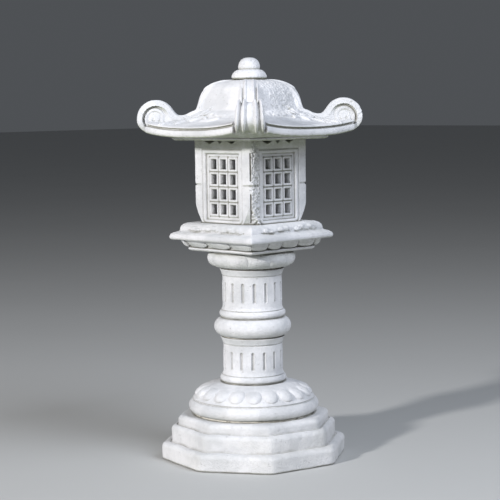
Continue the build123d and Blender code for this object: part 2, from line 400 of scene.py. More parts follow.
# dirt and painted shade for hollows, joints and air holes
STONE_DIRT_AND_SHADE = (0.30, 0.29, 0.25)
GROWTH_AND_SHADE_BAND = (42, 6)            # where the green growth and painted shade under a ledge start and are thickest, in mm down


def cast_stone(name, stipple, grime_and_shade, cream, under, growth_and_shade_top=None):
    """White cast stone: mottled tone, dirt and painted shade in its air holes and hollows, painted
    olive shade on the undersides, and green growth with painted shade in a band under a ledge
    that thickens up to a given height, in mm."""
    p = Paint(name)
    blotches = p.noise(90, 5, 0.6)
    mottle = p.noise(14, 5, 0.65)
    grain = p.noise(1.6, 3, 0.7)
    holes = p.between(p.pits(6.5), 0.10, 0.20)
    holes_here = p.between(p.noise(26, 2), 0.54, 0.62)
    hole_depth = p.sum("MULTIPLY", p.sum("SUBTRACT", 1.0, holes), holes_here)
    colour = p.tint(p.between(blotches, 0.38, 0.66), STONE_PALE, STONE_DEEP)
    colour = p.tint(p.between(mottle, 0.45, 0.80, 0.0, 0.45), colour, STONE_DEEP)
    colour = p.tint(p.between(p.noise(130, 3), 0.50, 0.72, 0.0, cream), colour, STONE_CREAM)
    low = p.between(p.height(), 0.22, 0.0, 0.0, cream)
    colour = p.tint(low, colour, STONE_CREAM)
    # painted shade: surfaces facing down turn dark olive. This stands in for their shade and the green
    # light bounced up onto them.
    below = p.sum("MULTIPLY", p.facing_down(), p.between(mottle, 0.25, 0.6, 0.6 * under, under))
    colour = p.tint(below, colour, STONE_UNDERSIDE_SHADE)
    # green growth mixed with painted shade: a darker band just under the eave or the platform, where
    # their shadow falls
    if growth_and_shade_top is not None:
        start, full = ((growth_and_shade_top - down) * MM for down in GROWTH_AND_SHADE_BAND)
        rising = p.between(p.height(), start, full)
        growth_and_shade = p.sum("MULTIPLY", rising, p.between(p.noise(20, 4), 0.25, 0.6, 0.6 * grime_and_shade, grime_and_shade))
        colour = p.tint(growth_and_shade, colour, STONE_GROWTH_AND_SHADE)
    # dirt and painted shade: corners, creases and joints narrower than 8 mm turn dark
    shaded_hollows = p.between(p.hollow(8), 0.92, 0.45)
    dirt_and_hollow_shade = p.sum("MULTIPLY", shaded_hollows, p.between(p.noise(30, 4), 0.2, 0.6, grime_and_shade, 0.9))
    colour = p.tint(dirt_and_hollow_shade, colour, STONE_DIRT_AND_SHADE)
    # air holes: dirt and painted shade darken the pits
    colour = p.tint(p.sum("MULTIPLY", hole_depth, 0.45), colour, STONE_DIRT_AND_SHADE)
    p.give(p.surface.inputs["Base Color"], colour)
    p.give(p.surface.inputs["Roughness"], p.between(mottle, 0.2, 0.8, 0.82, 0.95))
    p.surface.inputs["Specular IOR Level"].default_value = 0.28
    fine = p.bump(grain, 0.6, 0.5 + 0.4 * stipple)
    pecked = p.bump(p.between(p.noise(4.2, 3), 0.35, 0.65), 1.4, 0.8 * stipple, fine)
    pitted = p.bump(hole_depth, -2.0, 1.0, pecked)
    p.give(p.surface.inputs["Normal"], pitted)
    return p.material


def mortar_mix():
    """Sandy cream mortar that has weathered dark in places."""
    p = Paint("mortar_mix")
    sand = p.noise(1.8, 4, 0.7)
    stain = p.noise(22, 4, 0.6)
    colour = p.tint(p.between(sand, 0.3, 0.7), (0.62, 0.58, 0.50), (0.84, 0.81, 0.74))
    colour = p.tint(p.between(stain, 0.50, 0.64, 0.0, 0.8), colour, (0.20, 0.18, 0.15))
    p.give(p.surface.inputs["Base Color"], colour)
    p.give(p.surface.inputs["Roughness"], p.between(sand, 0.2, 0.8, 0.85, 0.98))
    rough = p.bump(sand, 0.9, 0.8)
    p.give(p.surface.inputs["Normal"], p.bump(p.noise(6, 3), 1.6, 0.6, rough))
    return p.material


def galvanised_steel():
    """Zinc-coated bar with faint crystals and turning marks."""
    p = Paint("galvanised_steel")
    crystals = p.noise(4, 2, 0.5)
    stain = p.noise(16, 4, 0.6)
    colour = p.tint(p.between(crystals, 0.35, 0.65), (0.44, 0.45, 0.46), (0.60, 0.61, 0.62))
    colour = p.tint(p.between(stain, 0.55, 0.72, 0.0, 0.6), colour, (0.36, 0.29, 0.22))
    p.give(p.surface.inputs["Base Color"], colour)
    p.give(p.surface.inputs["Roughness"], p.between(stain, 0.3, 0.7, 0.32, 0.6))
    p.surface.inputs["Metallic"].default_value = 1.0
    p.give(p.surface.inputs["Normal"], p.bump(p.noise(0.7, 2), 0.1, 0.4))
    return p.material


# ---------------------------------------------------------------- turned pieces
def turned(name, outline, around=480, step=2.4, shape=None):
    """A piece that is round in plan, from its outline (radius, height). shape gives the
    change of radius at each angle and height, in mm."""
    outline = spaced_evenly(outline, step)
    points, faces = stacked(outline, ring_section(around))
    if shape is not None:
        angle = np.arctan2(points[..., 1], points[..., 0])
        radius = np.hypot(points[..., 0], points[..., 1])
        grown = shape(angle, radius, points[..., 2])
        points[..., :2] *= (1 + grown / np.maximum(radius, 1))[..., None]
    return make_object(name, closed_stack(points), faces)


def mortar_bed(name, seed, sunk):
    low, high = span(name)
    radius = high[0] - sunk
    bottom, top = low[2] - 0.6, high[2] + 0.6
    outline = [(2, bottom), (radius - 1.5, bottom), (radius, bottom + 1),
               (radius, top - 1), (radius - 1.5, top), (2, top)]

    def ragged(angle, r, z):
        at = np.stack([np.cos(angle) * radius, np.sin(angle) * radius, z], -1).reshape(-1, 3)
        edge = (r > radius - 4).astype(float)
        return edge * (layered_noise(at, 16, seed).reshape(r.shape) * 2.4 - 0.6)

    return turned(name + "_bed", outline, 360, 1.4, ragged)


FOOT_BOSSES = 20
FOOT_GROOVE_Z = 158
EGG_HIGH = 11.5


def foot():
    low, high = span("foot")
    bottom, top = low[2], high[2]
    dome = curve_through([(164, 161), (157, 167), (148, 176), (136, 186), (117, 196),
                          (91, top - 0.2)], 8)
    outline = [(4, bottom), (156, bottom)]
    outline += arc((157, 139.5), (18.5, 18.5), -88, 72, 22)
    outline += [(162.4, FOOT_GROOVE_Z + 1.2), *map(tuple, dome), (4, top)]

    def eggs(angle, r, z):
        share = 2 * math.pi / FOOT_BOSSES
        off = ((angle + math.pi / 4 + share / 2) % share - share / 2) * r
        up = (139 - r) / 18.5
        wide = 20.5 - 1.5 * up
        round_part = 1 - np.abs(off / wide) ** 2.2 - np.abs(up) ** 2.2
        egg = np.clip(round_part, 0, 1) ** 0.8 * EGG_HIGH
        return np.where((r > 96) & (z > FOOT_GROOVE_Z + 2), egg, 0)

    piece = turned("foot_stone", outline, FOOT_BOSSES * 32, 1.9, eggs)
    push(piece, worn(11, 0.9, 0.35))
    return piece


FLUTES = 16
FLUTE_REACH = 4.3
FLUTE_DEEP = 4.6


def drum(name, flute_low, flute_high, phase, seed):
    """A column drum: base ring, fluted shaft, thin groove and flared collar."""
    bottom, top = height(name)
    base_r, shaft_r, collar_r = 88, 80, 86.5
    outline = [(4, bottom), (base_r - 2.5, bottom)]
    outline += arc((base_r - 6.5, bottom + 9), (7.5, 9), -65, 75, 14)
    outline += [(shaft_r + 1.8, bottom + 18.4), (shaft_r + 3.2, bottom + 20)]
    groove = top - 18.5
    outline += [(shaft_r + 1.2, bottom + 24), (shaft_r, bottom + 29)]
    outline += [(shaft_r - 0.4, groove - 2), (shaft_r - 2, groove)]
    outline += [(shaft_r + 1, groove + 2), (shaft_r + 2, groove + 6)]
    outline += [(collar_r - 1.5, top - 5), (collar_r, top - 2), (collar_r - 1.5, top), (4, top)]

    def fluted(angle, r, z):
        share = 2 * math.pi / FLUTES
        off = ((angle - math.radians(phase) + share / 2) % share - share / 2) * r
        past = np.maximum(0, np.maximum(flute_low + FLUTE_REACH - z,
                                        z - flute_high + FLUTE_REACH))
        away = np.hypot(off, past) / FLUTE_REACH
        cut = np.sqrt(np.clip(1 - away ** 2, 0, 1))
        ridge = 0.7 * bell(away, 1.25, 0.45)
        return np.where(r > shaft_r - 4, ridge - FLUTE_DEEP * cut, 0)

    piece = turned(name + "_stone", outline, FLUTES * 34, 1.9, fluted)
    push(piece, worn(seed, 0.5, 0.3))
    return piece


def ring():
    bottom, top = height("ring")
    middle = (bottom + top) / 2
    outline = [(4, bottom), (84, bottom)]
    outline += arc((79, middle), (24.6, (top - bottom) / 2 - 0.2), -78, 76, 26)
    outline += [(84, top), (4, top)]
    piece = turned("ring_stone", outline, 480, 2.2)
    push(piece, worn(31, 1.0, 0.35))
    return piece


CAPITAL_LOBES = 12
LOBE_DEEP = 6.0


def capital():
    bottom, top = height("capital")
    outline = [(4, bottom), (84, bottom)]
    outline += [tuple(p) for p in curve_through(
        [(86, bottom + 0.5), (101, bottom + 4), (112, bottom + 11), (117.6, bottom + 22),
         (117.6, bottom + 32), (113, bottom + 39.5), (104, top - 0.5)], 8)]
    outline += [(4, top)]

    def lobes(angle, r, z):
        wave = np.abs(np.cos(angle * CAPITAL_LOBES / 2 + 0.5)) ** 0.5
        fade = smooth_step(bottom + 2, bottom + 16, z) * smooth_step(top, top - 16, z)
        return np.where(r > 84, LOBE_DEEP * (wave - 0.75) * fade, 0)

    piece = turned("capital_stone", outline, 480, 2.2, lobes)
    push(piece, worn(41, 1.1, 0.5))
    return piece


def finial():
    bottom, top = height("finial")
    bun_top = bottom + 26
    outline = [(6.4, bottom + 18), (6.4, bottom), (41, bottom)]
    outline += [tuple(p) for p in curve_through(
        [(43.5, bottom + 0.8), (46.6, bottom + 5), (46, bottom + 11), (42, bottom + 18),
         (35.5, bun_top - 2.5), (29.5, bun_top - 0.5)], 6)]
    outline += [tuple(p) for p in curve_through(
        [(27.4, bun_top), (28.6, bun_top + 4), (28.8, bun_top + 10), (26.6, bun_top + 18),
         (21.5, bun_top + 25.5), (13, bun_top + 30.5), (4, top)], 6)]
    outline += [(1.2, top)]
    piece = turned("finial_stone", outline, 220, 1.8)
    push(piece, worn(51, 0.7, 0.3))
    return piece


# ---------------------------------------------------------------- square and eight-sided pieces
def prism(name, outline, sides, turn, per_side, sharpness, step=2.4):
    outline = spaced_evenly(outline, step)
    points, faces = stacked(outline, polygon_section(sides, turn, per_side, sharpness))
    return make_object(name, closed_stack(points), faces)


PLINTH_STEPS = ((254.5, 47), (227, 91.5), (208, 118))       # corner radius and top of each step
PLINTH_TURN = -12.1
PLINTH_CORNER = 55


def plinth():
    """Three octagonal steps with soft shoulders and treads that fall outwards."""
    face = math.cos(math.pi / 8)
    bottom = height("plinth")[0]
    outline = [(4, bottom), (PLINTH_STEPS[0][0] * face - 7, bottom)]
    outline += arc((PLINTH_STEPS[0][0] * face - 7, bottom + 7), (7, 7), -90, -5, 6)
    for k, (radius, top) in enumerate(PLINTH_STEPS):
        flat = radius * face
        outline += arc((flat - 12, top - 12), (12.5, 12), 0, 82, 10)
        if k + 1 < len(PLINTH_STEPS):
            following = PLINTH_STEPS[k + 1][0] * face
            outline += [(following + 6, top + 0.8), (following + 2.4, top - 1.8),
                        (following + 0.2, top + 2.5)]
    outline += [(150, PLINTH_STEPS[-1][1]), (4, PLINTH_STEPS[-1][1])]
    piece = prism("plinth_stone", outline, 8, PLINTH_TURN, 70, PLINTH_CORNER)
    push(piece, worn(21, 1.6, 0.4))
    points, normals = read_mesh(piece.data)
    points[:, 2] = np.maximum(points[:, 2], bottom)
    piece.data.vertices.foreach_set("co", (points * MM).ravel())
    return piece


def thin_slab(name, seed, below=()):
    low, high = span(name)
    bottom, top, half = low[2], high[2], high[0]
    if len(below):
        bottom = below[-1][1]
    outline = [*below] or [(3, bottom)]
    outline += [(half - 6, bottom), (half - 0.6, bottom + 3.4), (half, bottom + 4.6),
                (half, top - 1.6), (half - 1.6, top), (3, top)]
    piece = prism(name + "_stone", outline, 4, 0, 120, 60, 1.6)
    push(piece, worn(seed, 0.7, 0.5))
    return piece


# carved stones along the platform's bevel, where each one ends, for front and back, right and left
BEVEL_JOINTS = ((-131, -118, -45, 43, 128), (-131, -66, -15, 48, 110, 131))
BEVEL_RELIEF, BEVEL_SUNK = 12, 7


def platform():
    low, high = span("platform")
    bottom, top, half = low[2], high[2], high[0]
    lip, tier = bottom + 23, bottom + 45
    outline = [(3, bottom), (118.5, bottom), (121, bottom + 1.5), (140.5, lip - 0.5)]
    outline += [(143, lip - 0.5), (half - 4, lip - 1.5), (half - 0.6, lip + 2)]
    outline += [(half, lip + 7), (half - 2.5, lip + 13.5), (half - 9, lip + 17.5)]
    outline += [(half - 17.5, tier - 1.5), (half - 20.2, tier + 1), (half - 20.5, tier + 5)]
    outline += [(half - 22, tier + 12), (half - 27, tier + 18), (half - 35, top - 0.3)]
    outline += [(half - 45, top), (3, top)]
    piece = prism("platform_stone", outline, 4, 0, 190, 70, 1.7)

    def carving(points, normals):
        side, along, out = face_view(points)
        z = points[:, 2]
        raised = np.zeros(len(points))
        up = (z - bottom - 11.5) / 12.5
        for parity, joints in enumerate(BEVEL_JOINTS):
            for start, end in zip(joints[:-1], joints[1:]):
                off = (along + 5 * up - (start + end) / 2) / ((end - start) / 2)
                stone = 1 - np.abs(off) ** 3 - np.abs(up) ** 3.4
                stone = np.sqrt(np.clip(stone, 0, 1)) * (0.82 + 0.18 * off)
                raised = np.where(side % 2 == parity, np.maximum(raised, stone), raised)
        on_bevel = (up > -1.05) & (up < 1.0) & (out > 116) & (out < 145)
        shape = np.where(on_bevel, BEVEL_RELIEF * raised - BEVEL_SUNK, 0)
        return shape + tier_relief(along, out, z - tier)

    push(piece, carving)
    push(piece, worn(61, 0.7, 0.4))
    return piece


CLOUDS = ((36, 6, 13), (52, 12, 12), (66, 6, 13), (84, 11, 11), (96, 4, 10),
          (-80, 8, 12), (-64, 4, 10), (-6, 12, 13), (-26, 9, 12))
CREASES = (((-62, 1), (-40, 3), (-16, 2)), ((0, 4), (7, 1), (14, 5)), ((-100, 3), (-90, 1)),
           ((44, 2), (58, 4), (72, 1)), ((88, 2), (100, 5), (108, 3)))


def tier_relief(along, out, up):
    """Clouds, curls and a low step that stand out on the platform's upper slope."""
    slope = np.where((out > 108) & (out < 150), smooth_step(-4, 1, up), 0)
    level = up + (136.5 - out) * 0.6
    shape = np.zeros(len(along))
    for u, v, reach in CLOUDS:
        away = np.hypot((along - u) / reach, (level - v) / (reach * 0.6))
        cloud = 5.0 * np.sqrt(np.clip(1 - away ** 2, 0, 1)) - 1.2 * bell(away, 0.55, 0.16)
        shape = np.where(away < 1, np.maximum(shape, cloud), shape)
    for crease in CREASES:
        shape -= 2.6 * np.clip(1 - nearest_line(along, level, crease) / 2.4, 0, 1)
    step = smooth_step(-76, -73, along) * smooth_step(-44, -47, along)
    shape += 2.4 * step * smooth_step(0, 1.5, level) * smooth_step(9, 7.5, level)
    return shape * slope


# ---------------------------------------------------------------- light box
WINDOW_HALF = 63
POST_ROUND = 10
WINDOW_BOTTOM_UP, WINDOW_TOP_DOWN = 8.7, 35
POST_PROFILE = ((0, 130), (12, 135), (26, 141), (45, 146.5), (62, 149.3), (84, 149.8),
                (97, 147.5), (101, 146), (106, 147.5), (130, 148.5), (180, 149), (218.7, 149.5))
TOP_NOTCHES = ((-44, 21), (-5, 9), (38, 16))
NOTCH_DEEP = 9.5


def grid_lines(low, high, step, *fixed):
    """Rising numbers from low to high, no further apart than step, that include fixed."""
    stops = sorted({low, high, *fixed})
    made = []
    for a, b in zip(stops[:-1], stops[1:]):
        n = max(1, int(math.ceil((b - a) / step)))
        made += [a + (b - a) * k / n for k in range(n)]
    return np.array(made + [high])


def window_edge(along, z, bottom, top):
    """How far outside the window opening a point of the wall is."""
    dx = np.abs(along) - WINDOW_HALF
    dz = np.maximum(bottom - z, z - top)
    corner = np.where(z < (bottom + top) / 2, 5, -8)
    rounded = np.hypot(np.maximum(dx + corner, 0), np.maximum(dz + corner, 0)) - corner
    return np.where((dx > -corner) & (dz > -corner) & (corner > 0), rounded, np.maximum(dx, dz))


def moulding(away):
    """How far the wall sinks at each distance from the opening: bead, then a thin line."""
    line = 3.6 * np.clip(1 - np.abs(away - 11.6) / 1.8, 0, 1)
    bead = np.sqrt(np.clip(1 - ((away - 5.2) / 5.4) ** 2, 0, 1))
    return np.where(away < 10.6, 3.4 - 3.2 * bead, 0) + line


def light_box():
    low, high = span("light_box")
    bottom, top, half = low[2], high[2], high[0]
    sill, head = bottom + WINDOW_BOTTOM_UP, top - WINDOW_TOP_DOWN
    chamber = WINDOW_HALF + 1
    fine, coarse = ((1.1, 1.5))
    along = grid_lines(-half, half, fine, -WINDOW_HALF, WINDOW_HALF)[:-1]
    z = grid_lines(bottom, top, coarse, sill, head)
    u, v = np.meshgrid(along, z, indexing="ij")
    sunk = moulding(window_edge(u, v, sill, head))
    out = half - np.where(np.abs(u) < half - 1, sunk, 0)
    flat = np.stack([u, -out, v], -1)
    u_in = np.where(np.abs(u) <= WINDOW_HALF, u, np.sign(u) * (
        WINDOW_HALF + (np.abs(u) - WINDOW_HALF) * (chamber - WINDOW_HALF)
        / (half - WINDOW_HALF)))
    flat_in = np.stack([u_in, np.full(u.shape, -chamber), v], -1)
    flat = corner_posts(flat, bottom, half)
    for middle, reach in TOP_NOTCHES:
        notch = np.clip(1 - np.abs(u - middle) / reach, 0, 1) ** 0.8
        flat[..., 2] -= NOTCH_DEEP * notch * smooth_step(top - 16, top, v)
    hole = (np.abs(u) < WINDOW_HALF) & (v > sill - 0.1) & (v < head - 0.1)
    solid = ~(hole | (u < -WINDOW_HALF + 0.1) & (u > -WINDOW_HALF - 0.1)
              & (v > sill - 0.1) & (v < head - 0.1))[:, :-1]
    outer, inner = [], []
    for degrees in SIDE_TURNS:
        outer.append(rotated(flat, degrees))
        inner.append(rotated(flat_in, degrees))
    points, faces = double_sheet(np.concatenate(outer), np.concatenate(inner),
                                 np.concatenate([solid] * 4), wrap=True)
    piece = make_object("light_box_stone", points, faces)

    def weathered(points, normals):
        side, u, out = face_view(points)
        plain = worn(71, 0.5, 0.22)(points, normals)
        pecks = np.clip(value_noise(points, 3.8, 77), -0.35, 0.6) * 3.4
        post = smooth_step(-72, -76, u) * smooth_step(-103, -99, u) * (out > half - 24)
        return plain - pecks * post * (side % 2 == 1)

    push(piece, weathered)
    return piece


def rotated(points, degrees):
    c, s = math.cos(math.radians(degrees)), math.sin(math.radians(degrees))
    turned_points = points.copy()
    turned_points[..., 0] = c * points[..., 0] - s * points[..., 1]
    turned_points[..., 1] = s * points[..., 0] + c * points[..., 1]
    return turned_points


def corner_posts(flat, bottom, half):
    """Rounds the corners of one side, cuts them back to the post's profile and carves the
    post's grooves."""
    made = flat.copy()
    up = flat[..., 2] - bottom
    past = np.maximum(np.abs(flat[..., 0]) - half + POST_ROUND, 0)
    bend = past / POST_ROUND * math.pi / 4
    made[..., 0] -= np.sign(flat[..., 0]) * (past - POST_ROUND * np.sin(bend))
    made[..., 1] += POST_ROUND * (1 - np.cos(bend))
    limit = np.interp(up, *zip(*POST_PROFILE))
    for sign in (-1, 1):
        corner = np.array([sign, -1]) / math.sqrt(2)
        outward = made[..., 0] * corner[0] + made[..., 1] * corner[1]
        across = np.abs(made[..., 0] * corner[1] - made[..., 1] * corner[0])
        upper = smooth_step(112, 116, up) * smooth_step(188, 184, up)
        lower = smooth_step(3, 8, up) * smooth_step(82, 78, up)
        slit = 6.5 * np.clip(1 - across / 2.6, 0, 1) * (upper + lower)
        cross = 4.2 * np.clip(1 - np.abs(up - 101) / 2.6, 0, 1) * smooth_step(22, 17, across)
        excess = np.maximum(outward - limit, 0) + np.where(outward > 120, slit + cross, 0)
        made[..., 0] -= corner[0] * excess
        made[..., 1] -= corner[1] * excess
    return made


# ---------------------------------------------------------------- window lattice
TILES_ACROSS, TILES_UP = 3, 4
TILE_W, TILE_H = 35.6, 39.6
HOLE_W, HOLE_H = 20.8, 26.2


def lattice(node, turn, seed):
    """Three by four raised tiles with a through hole each, cast in one panel."""
    low, high = span("front_lattice")
    half, bottom, top = high[0], low[2], high[2]
    front, back = low[1], high[1] + 6
    middle = (bottom + top) / 2
    step = 1.15
    edges_x = [(i - 1) * TILE_W + s * HOLE_W / 2 for i in range(TILES_ACROSS) for s in (-1, 1)]
    edges_z = [middle + (k - 1.5) * TILE_H + s * HOLE_H / 2
               for k in range(TILES_UP) for s in (-1, 1)]
    x = grid_lines(-half, half, step, *edges_x)
    z = grid_lines(bottom, top, step, *edges_z)
    u, v = np.meshgrid(x, z, indexing="ij")
    tile_u = (u / TILE_W + 0.5) % 1 * TILE_W - TILE_W / 2
    tile_v = ((v - middle) / TILE_H) % 1 * TILE_H - TILE_H / 2
    ridge = np.maximum(np.abs(tile_u) - HOLE_W / 2, np.abs(tile_v) - HOLE_H / 2)
    gap = np.minimum(TILE_W / 2 - np.abs(tile_u), TILE_H / 2 - np.abs(tile_v))
    rim = np.sqrt(np.clip(1 - ((ridge - 3.3) / 4.2) ** 2, 0, 1))
    tiled = (np.abs(u) < 1.5 * TILE_W + 1.2) & (np.abs(v - middle) < 2 * TILE_H + 1.2)
    sunk = np.where(tiled, 3.4 - 3.9 * rim + 2.6 * np.clip(1 - gap / 1.8, 0, 1), 1.6)
    crossing = np.hypot(TILE_W / 2 - np.abs(tile_u), TILE_H / 2 - np.abs(tile_v))
    sunk += np.where(tiled, 3.0 * np.clip(1 - crossing / 4.6, 0, 1), 0)
    ripple = value_noise(np.stack([u, v, np.full(u.shape, seed * 50.0)], -1).reshape(-1, 3),
                         9, seed).reshape(u.shape) * 0.35
    face = np.stack([u, front + sunk + ripple, v], -1)
    behind = np.stack([u, np.full(u.shape, back), v], -1)
    mid_u, mid_v = (u[:-1, :-1] + u[1:, 1:]) / 2, (v[:-1, :-1] + v[1:, 1:]) / 2
    in_u = np.abs((mid_u / TILE_W + 0.5) % 1 * TILE_W - TILE_W / 2) < HOLE_W / 2
    in_v = np.abs(((mid_v - middle) / TILE_H) % 1 * TILE_H - TILE_H / 2) < HOLE_H / 2
    in_rows = np.abs(mid_v - middle) < 2 * TILE_H
    in_columns = np.abs(mid_u) < 1.5 * TILE_W
    solid = ~(in_u & in_v & in_rows & in_columns)
    points, faces = double_sheet(face, behind, solid, wrap=False)
    return make_object(node + "_casting", rotated(points, turn), faces)


# ---------------------------------------------------------------- roof
EAVE_HALF, EAVE_CORNER = 228, 266
SCROLL_R, SCROLL_AT, SCROLL_UP = 45, 249, 49
SCROLL_SIDE = 31.5
RIDGE_EDGE = 39
RIDGE_CROWN_R = 37
DOME_PROFILE = (                 # height over the roof's underside, corner radius
    (64, 154), (72, 139.5), (100, 131), (111, 127), (121, 121), (127, 118),
    (132, 112), (137, 103), (142, 91), (147, 70),
)
DOME_SHARPNESS = 5.5            # how square the dome is in plan
DOME_BODY = [(up, r - 3) for up, r in DOME_PROFILE]


def corner_reach(sharpness):
    """How far a square section's corner is from its middle, for a unit half width."""
    return math.sqrt(2) / 2 ** (1 / sharpness)


def roof_body(base, top):
    """The bell-shaped dome and its curved skirt, with a socket for the finial's pin."""
    eave = [(3, 0), (150, 0), (212, 0), (222, 0.6), (226.6, 3), (EAVE_HALF, 8),
            (227.6, 16), (225.5, 19), (219.5, 20.5), (219.5, 23.5), (226.4, 24.5),
            (227, 27), (221, 29.6)]
    skirt = [tuple(p) for p in curve_through([(212, 31), (196, 33), (162, 41), (140, 50)], 7)]
    dome = [(r / corner_reach(DOME_SHARPNESS), up) for up, r in DOME_BODY]
    dome = [tuple(p) for p in curve_through([(139, 50.5), *dome, (34, top - base)], 7)]
    socket = [(22, top - base), (7.2, top - base), (7.0, top - base - 34), (3, top - base - 34)]
    outline = spaced_evenly(eave + skirt + dome + socket, 2.2)
    sharpness = 44 + (DOME_SHARPNESS - 44) * smooth_step(42, 62, outline[:, 1])
    sharpness = np.where(outline[:, 0] < 30, 2, sharpness)
    sharpness = np.where(outline[:, 1] < 20, 44, sharpness)
    plan = polygon_section(4, 0, 170, sharpness)
    points, faces = stacked(outline, plan[0])
    points[..., :2] = outline[:, None, :1] * plan
    x, y, z = points[..., 0], points[..., 1], points[..., 2]
    along = np.minimum(np.abs(x), np.abs(y))
    out = np.maximum(np.abs(x), np.abs(y))
    z += 15 * (along / 182) ** 2.5 * smooth_step(149, 214, out) * smooth_step(62, 34, z)
    outward = (np.abs(x) + np.abs(y)) / math.sqrt(2)
    across = np.abs(np.abs(x) - np.abs(y)) / math.sqrt(2)
    back = np.maximum(outward - EAVE_CORNER, 0) * smooth_step(45, 38, across) / math.sqrt(2)
    x -= np.sign(x) * back
    y -= np.sign(y) * back
    z += base
    return closed_stack(points), faces


def fan_to_triangles(faces):
    """The same faces as triangles only, so that several shapes fit in one mesh."""
    made = []
    for f in faces:
        f = np.asarray(f)
        made.append(f if f.shape[1] == 3 else np.concatenate([f[:, [0, 1, 2]], f[:, [0, 2, 3]]]))
    return [np.concatenate(made)]


def ridge_path(base, top):
    """The line that a corner ridge follows: down the dome, through the dip, round the
    scroll and under it, to the eave's foot. Pairs of corner radius and height."""
    dome = [(r, base + up) for up, r in reversed(DOME_PROFILE)]
    down = [(40, top - 1), *dome, (172, base + 55.5), (187, base + 54), (195, base + 56),
            (203, base + 63)]
    scroll = arc((SCROLL_AT, base + SCROLL_UP), (SCROLL_R, SCROLL_R), 141, -70, 26)
    return curve_through([*down, *scroll], 7)


def ridge_section(across, flare, on_scroll, tip):
    """How far the ridge stands out at each place across it. flare runs from 0 on the dome
    to 1 at the foot of the scroll, where tip falls to 0 and the ribs end in points."""
    a = np.abs(across)
    inner_mid = 11.3 + 4.7 * flare
    outer_mid = 21.8 + 11.4 * flare
    tall = 0.72 + 0.6 * on_scroll
    inner_half, outer_half = (3.9 + 0.3 * flare) * tip, (2.5 + 1.8 * flare) * tip
    inner = np.sqrt(np.clip(1 - ((a - inner_mid) / inner_half) ** 2, 0, 1))
    outer = np.sqrt(np.clip(1 - ((a - outer_mid) / outer_half) ** 2, 0, 1))
    ribs = np.maximum(6.4 * inner, 5.6 * outer) * (0.45 + 0.55 * tip)
    floor = -3.2 - 3.4 * bell(a, (inner_mid + outer_mid) / 2, 4 + 2 * flare) - 6 * (1 - tip)
    edge = (-3 - 4 * on_scroll) * smooth_step(outer_mid + 1, outer_mid + 6, a)
    return (floor + ribs) * tall + edge


def ridge(base, top, degrees):
    path = ridge_path(base, top)
    length = np.concatenate([[0], np.cumsum(np.linalg.norm(np.diff(path, axis=0), axis=1))])
    even = np.arange(0, length[-1], 2.0)
    r = np.interp(even, length, path[:, 0])
    z = np.interp(even, length, path[:, 1])
    direction = np.stack([np.gradient(r), np.gradient(z)], -1)
    direction /= np.linalg.norm(direction, axis=1)[:, None]
    normal = np.stack([-direction[:, 1], direction[:, 0]], -1)
    left = length[-1] - even
    flare = smooth_step(185, 40, left)[:, None]
    on_scroll = smooth_step(255, 150, left)[:, None]
    tip = np.clip(left / 42, 0.04, 1)[:, None] ** 0.6
    across = np.linspace(-1, 1, 92)[None] * (RIDGE_EDGE - 11.5 * (1 - flare))
    crown = across ** 2 / 2 * smooth_step(255, 330, left)[:, None] / RIDGE_CROWN_R
    lift = ridge_section(across, flare, on_scroll, tip) + 1.2 - crown
    sink = -9.5 - 17 * smooth_step(178, 196, left)

    def sheet(offset):
        rr = r[:, None] + normal[:, :1] * offset
        zz = z[:, None] + normal[:, 1:] * offset
        return np.stack([rr, across, np.maximum(zz, base + 3)], -1)

    outer = sheet(lift)
    inner = sheet(np.minimum(np.broadcast_to(sink[:, None], lift.shape), lift - 1.5))
    solid = np.ones((len(even) - 1, across.shape[1] - 1), bool)
    points, faces = double_sheet(outer, inner, solid, wrap=False)
    return rotated(points, degrees), fan_to_triangles([faces[0][:, ::-1]])


SPIRAL = (              # the groove on a scroll's faces: angle from outside over the top, and radius
    (-270, 45.5), (-180, 42.5), (0, 33.5), (90, 31.5), (180, 24.5), (360, 20), (450, 17.5),
    (540, 13), (720, 7),
)
DISC_R = SCROLL_R - 5.5


def scroll(base, degrees):
    """The disc at a ridge's end, with a spiral cut in both of its faces."""
    rings = np.arange(3, DISC_R, 1.5)
    rows = [(1, -1.0), *[(rho, -1.0) for rho in rings], (DISC_R - 0.2, -0.94)]
    rows += [(DISC_R, -0.8), (DISC_R, 0.8), (DISC_R - 0.2, 0.94)]
    rows += [(rho, 1.0) for rho in rings[::-1]] + [(1, 1.0)]
    rows = np.array(rows)
    turn = np.linspace(0, 2 * math.pi, 150, endpoint=False)
    rho = np.broadcast_to(rows[:, :1], (len(rows), len(turn)))
    side = np.broadcast_to(rows[:, 1:], rho.shape)
    x, z = rho * np.cos(turn), rho * np.sin(turn)
    winding = np.arange(SPIRAL[0][0], SPIRAL[-1][0], 12)
    reach = np.interp(winding, *zip(*SPIRAL))
    bend = np.radians(winding)
    away = nearest_line(x, z, np.stack([reach * np.cos(bend), reach * np.sin(bend)], -1))
    groove = (3.2 + 2.4 * smooth_step(24, 30, rho)) * np.clip(1 - away / 3.3, 0, 1) ** 0.7
    face = groove + 1.8 * smooth_step(36, 33, rho) - 0.05 * (34 - np.minimum(rho, 34))
    thick = SCROLL_SIDE - 5.5 * smooth_step(-25, 45, z - 0.5 * x)
    across = side * (thick - np.where(np.abs(side) > 0.99, face, 0))
    lifted = np.maximum(base + SCROLL_UP + z, base + 9)
    points = np.stack([SCROLL_AT + x, across, lifted], -1)
    shape = closed_stack(points)
    return rotated(shape, degrees), fan_to_triangles(
        [f[:, ::-1] for f in stacked_faces(len(rows), len(turn))])


LEAVES = (          # place on the face and size of each leaf: middle, height, length, turn
    (44, 69, 18, 137), (30, 61, 11, 158), (12, 57, 12, 172), (-10, 55, 10, 185),
    (66, 53, 13, -8), (84, 49, 10, -14), (22, 49, 10, 200), (54, 45, 9, -30),
)
FLOWERS = ((100, 44), (84, 39), (112, 38))


